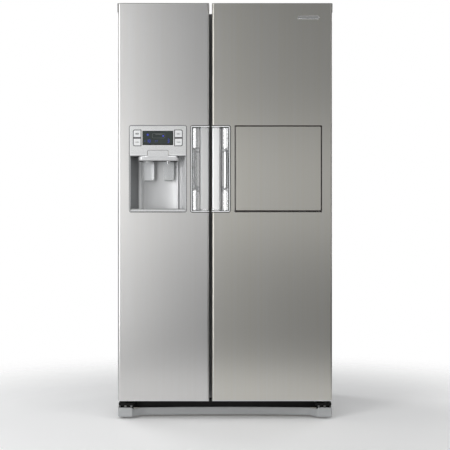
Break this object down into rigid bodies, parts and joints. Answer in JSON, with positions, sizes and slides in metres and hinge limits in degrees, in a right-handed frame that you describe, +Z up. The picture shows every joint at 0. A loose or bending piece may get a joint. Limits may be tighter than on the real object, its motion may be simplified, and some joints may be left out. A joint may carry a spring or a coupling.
{
  "type": "side by side refrigerator",
  "caption": "Tall two-door refrigerator and freezer in brushed steel, with an ice and water dispenser in one door and a fold-down home bar in the other.",
  "frame": {"origin": "on the floor, under the middle of the box round the whole appliance with its doors closed", "axes": "+Z up, +Y from the doors to the back, +X to the right as seen from the front"},
  "size_m": [0.912, 0.735, 1.775],
  "materials": {
    "case_paint": "satin",
    "frame_paint": "satin",
    "zinc_sheet": "satin",
    "foam": "matte",
    "liner_white": "gloss",
    "black_steel": "satin",
    "kick_grey": "satin",
    "hinge_steel": "satin",
    "cover_grey": "satin",
    "compressor_black": "gloss",
    "condenser_black": "satin",
    "motor_steel": "satin",
    "fan_plastic": "satin",
    "inlet_black": "matte",
    "valve_white": "satin",
    "roller_nylon": "satin",
    "foot_black": "satin",
    "shelf_white": "gloss",
    "shelf_glass": "gloss",
    "ice_white": "satin",
    "clear_plastic": "gloss",
    "door_steel": "satin",
    "cap_grey": "satin",
    "seal_grey": "matte",
    "pocket_chrome": "polished",
    "grip_aluminium": "satin",
    "dispenser_silver": "satin",
    "display_black": "gloss",
    "canopy_white": "gloss",
    "lever_clear": "gloss",
    "tray_grey": "satin"
  },
  "bodies": {
    "cabinet": {"outer_case": "case_paint", "face_frame": "frame_paint", "rear_panels": "zinc_sheet", "insulation": "foam", "freezer_liner": "liner_white", "fridge_liner": "liner_white", "base_frame": "black_steel", "kick_plate": "kick_grey", "upper_hinges": "hinge_steel", "hinge_covers": "cover_grey", "lower_hinges": "black_steel", "compressor": "compressor_black", "condenser": "condenser_black", "fan_motor": "motor_steel", "power_inlet": "inlet_black", "water_valve": "valve_white", "duct_covers": "liner_white", "freezer_shelves": "shelf_white", "ice_maker": "ice_white", "ice_bucket": "clear_plastic", "fridge_shelves": "shelf_glass"},
    "freezer_door": {"freezer_door_skin": "door_steel", "freezer_door_liner": "liner_white", "freezer_door_foam": "foam", "freezer_door_caps": "cap_grey", "freezer_door_gasket": "seal_grey", "freezer_door_bins": "clear_plastic", "freezer_handle": "pocket_chrome", "freezer_grip": "grip_aluminium", "dispenser_housing": "dispenser_silver", "dispenser_panel": "dispenser_silver", "display_window": "display_black", "dispenser_canopy": "canopy_white"},
    "fridge_door": {"fridge_door_skin": "door_steel", "fridge_door_liner": "liner_white", "fridge_door_foam": "foam", "fridge_door_caps": "cap_grey", "fridge_door_gasket": "seal_grey", "fridge_door_bins": "clear_plastic", "fridge_handle": "pocket_chrome", "fridge_grip": "grip_aluminium", "homebar_case": "liner_white"},
    "homebar_door": {"homebar_door": "door_steel", "homebar_tray": "liner_white"},
    "condenser_fan": {"condenser_fan": "fan_plastic"},
    "roller_left": {"roller_left": "roller_nylon"},
    "roller_right": {"roller_right": "roller_nylon"},
    "foot_left": {"foot_left": "foot_black"},
    "foot_right": {"foot_right": "foot_black"},
    "freezer_drawer_upper": {"freezer_drawer_upper": "clear_plastic"},
    "freezer_drawer_lower": {"freezer_drawer_lower": "clear_plastic"},
    "crisper_upper": {"crisper_upper": "clear_plastic"},
    "crisper_lower": {"crisper_lower": "clear_plastic"},
    "ice_lever": {"ice_lever": "lever_clear"},
    "water_lever": {"water_lever": "lever_clear"},
    "drip_tray": {"drip_tray": "tray_grey"},
    "button_upper_left": {"button_upper_left": "dispenser_silver"},
    "button_lower_left": {"button_lower_left": "dispenser_silver"},
    "button_upper_right": {"button_upper_right": "dispenser_silver"},
    "button_lower_right": {"button_lower_right": "dispenser_silver"}
  },
  "joints": [
    {"name": "freezer_door_hinge", "type": "hinge", "parent": "cabinet", "child": "freezer_door", "pos_m": [-0.432, -0.3175, 0.9], "axis": [0, 0, -1], "range_deg": [0, 120]},
    {"name": "fridge_door_hinge", "type": "hinge", "parent": "cabinet", "child": "fridge_door", "pos_m": [0.432, -0.3175, 0.9], "axis": [0, 0, 1], "range_deg": [0, 120]},
    {"name": "homebar_hinge", "type": "hinge", "parent": "fridge_door", "child": "homebar_door", "pos_m": [0.226, -0.3605, 0.886], "axis": [1, 0, 0], "range_deg": [0, 90]},
    {"name": "ice_lever_pivot", "type": "hinge", "parent": "freezer_door", "child": "ice_lever", "pos_m": [-0.327, -0.2995, 1.104], "axis": [1, 0, 0], "range_deg": [0, 8], "stiffness_Nm_per_rad": 0.5},
    {"name": "water_lever_pivot", "type": "hinge", "parent": "freezer_door", "child": "water_lever", "pos_m": [-0.243, -0.2995, 1.104], "axis": [1, 0, 0], "range_deg": [0, 8], "stiffness_Nm_per_rad": 0.5},
    {"name": "button_upper_left_press", "type": "slide", "parent": "freezer_door", "child": "button_upper_left", "axis": [0, 1, 0], "range_m": [0, 0.0015], "stiffness_N_per_m": 500},
    {"name": "button_lower_left_press", "type": "slide", "parent": "freezer_door", "child": "button_lower_left", "axis": [0, 1, 0], "range_m": [0, 0.0015], "stiffness_N_per_m": 500},
    {"name": "button_upper_right_press", "type": "slide", "parent": "freezer_door", "child": "button_upper_right", "axis": [0, 1, 0], "range_m": [0, 0.0015], "stiffness_N_per_m": 500},
    {"name": "button_lower_right_press", "type": "slide", "parent": "freezer_door", "child": "button_lower_right", "axis": [0, 1, 0], "range_m": [0, 0.0015], "stiffness_N_per_m": 500},
    {"name": "drip_tray_lift", "type": "slide", "parent": "freezer_door", "child": "drip_tray", "axis": [0, 0, 1], "range_m": [0, 0.05]},
    {"name": "freezer_drawer_upper_slide", "type": "slide", "parent": "cabinet", "child": "freezer_drawer_upper", "axis": [0, -1, 0], "range_m": [0, 0.05]},
    {"name": "freezer_drawer_lower_slide", "type": "slide", "parent": "cabinet", "child": "freezer_drawer_lower", "axis": [0, -1, 0], "range_m": [0, 0.05]},
    {"name": "crisper_upper_slide", "type": "slide", "parent": "cabinet", "child": "crisper_upper", "axis": [0, -1, 0], "range_m": [0, 0.05]},
    {"name": "crisper_lower_slide", "type": "slide", "parent": "cabinet", "child": "crisper_lower", "axis": [0, -1, 0], "range_m": [0, 0.05]},
    {"name": "roller_left_spin", "type": "hinge", "parent": "cabinet", "child": "roller_left", "pos_m": [-0.4, 0.32, 0.02], "axis": [1, 0, 0], "continuous": true},
    {"name": "roller_right_spin", "type": "hinge", "parent": "cabinet", "child": "roller_right", "pos_m": [0.4, 0.32, 0.02], "axis": [1, 0, 0], "continuous": true},
    {"name": "foot_left_screw", "type": "hinge", "parent": "cabinet", "child": "foot_left", "pos_m": [-0.405, -0.225, 0.03], "axis": [0, 0, 1], "continuous": true},
    {"name": "foot_right_screw", "type": "hinge", "parent": "cabinet", "child": "foot_right", "pos_m": [0.405, -0.225, 0.03], "axis": [0, 0, 1], "continuous": true},
    {"name": "condenser_fan_spin", "type": "hinge", "parent": "cabinet", "child": "condenser_fan", "pos_m": [0.13, 0.275, 0.145], "axis": [0, 1, 0], "continuous": true}
  ]
}
